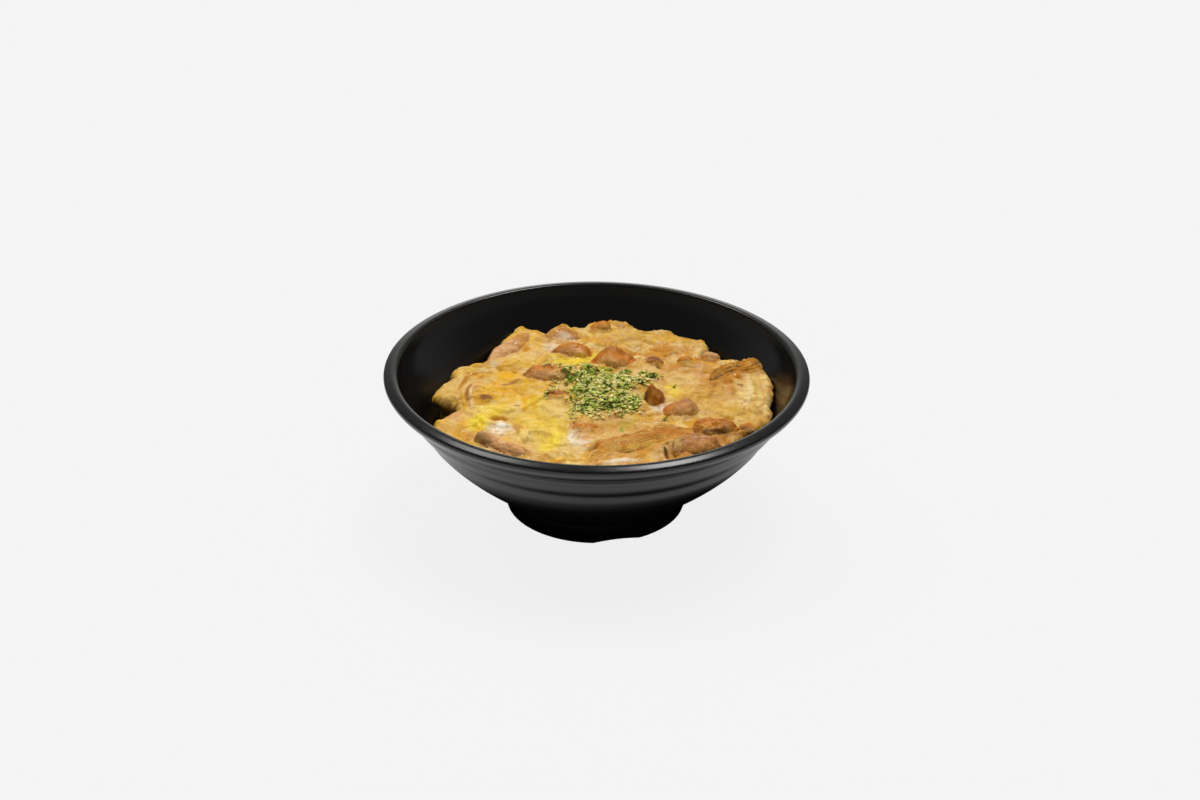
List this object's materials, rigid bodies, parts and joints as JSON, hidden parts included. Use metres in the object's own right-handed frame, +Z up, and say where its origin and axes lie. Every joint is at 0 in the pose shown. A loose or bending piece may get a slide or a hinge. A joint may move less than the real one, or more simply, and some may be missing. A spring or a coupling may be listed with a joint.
{
  "type": "bowl of oyakodon",
  "caption": "Round black bowl with soft rings outside and a notched foot, filled with soft egg, chicken pieces, onion strips and a heap of dried green flakes.",
  "frame": {"origin": "centre of the foot ring's underside, on the surface that the bowl stands on", "axes": "+Z up along the bowl's axis, -Y towards the side that is nearest in the picture, +X to the picture's right"},
  "size_m": [0.206, 0.206, 0.073],
  "materials": {
    "bowl_black": "satin black melamine",
    "egg": "moist, softly set egg",
    "chicken": "moist, sauce-glazed chicken",
    "onion": "wet, translucent stewed onion",
    "green_flakes": "dry green flakes"
  },
  "bodies": {
    "root": {"bowl": "bowl_black", "egg": "egg", "chicken_back_long": "chicken", "chicken_back_pale": "chicken", "chicken_back_top": "chicken", "chicken_oval": "chicken", "chicken_fin": "chicken", "chicken_glossy": "chicken", "chicken_upright": "chicken", "chicken_pink": "chicken", "chicken_dark": "chicken", "chicken_rim_left": "chicken", "chicken_rim_right": "chicken", "chicken_rim_wedge": "chicken", "chicken_rim_front": "chicken", "chicken_bit_dark": "chicken", "chicken_bit_back": "chicken", "chicken_bit_pink": "chicken", "chicken_bit_left": "chicken", "chicken_bit_front": "chicken", "onion_right": "onion", "onion_front": "onion", "onion_rim": "onion"}
  },
  "joints": []
}
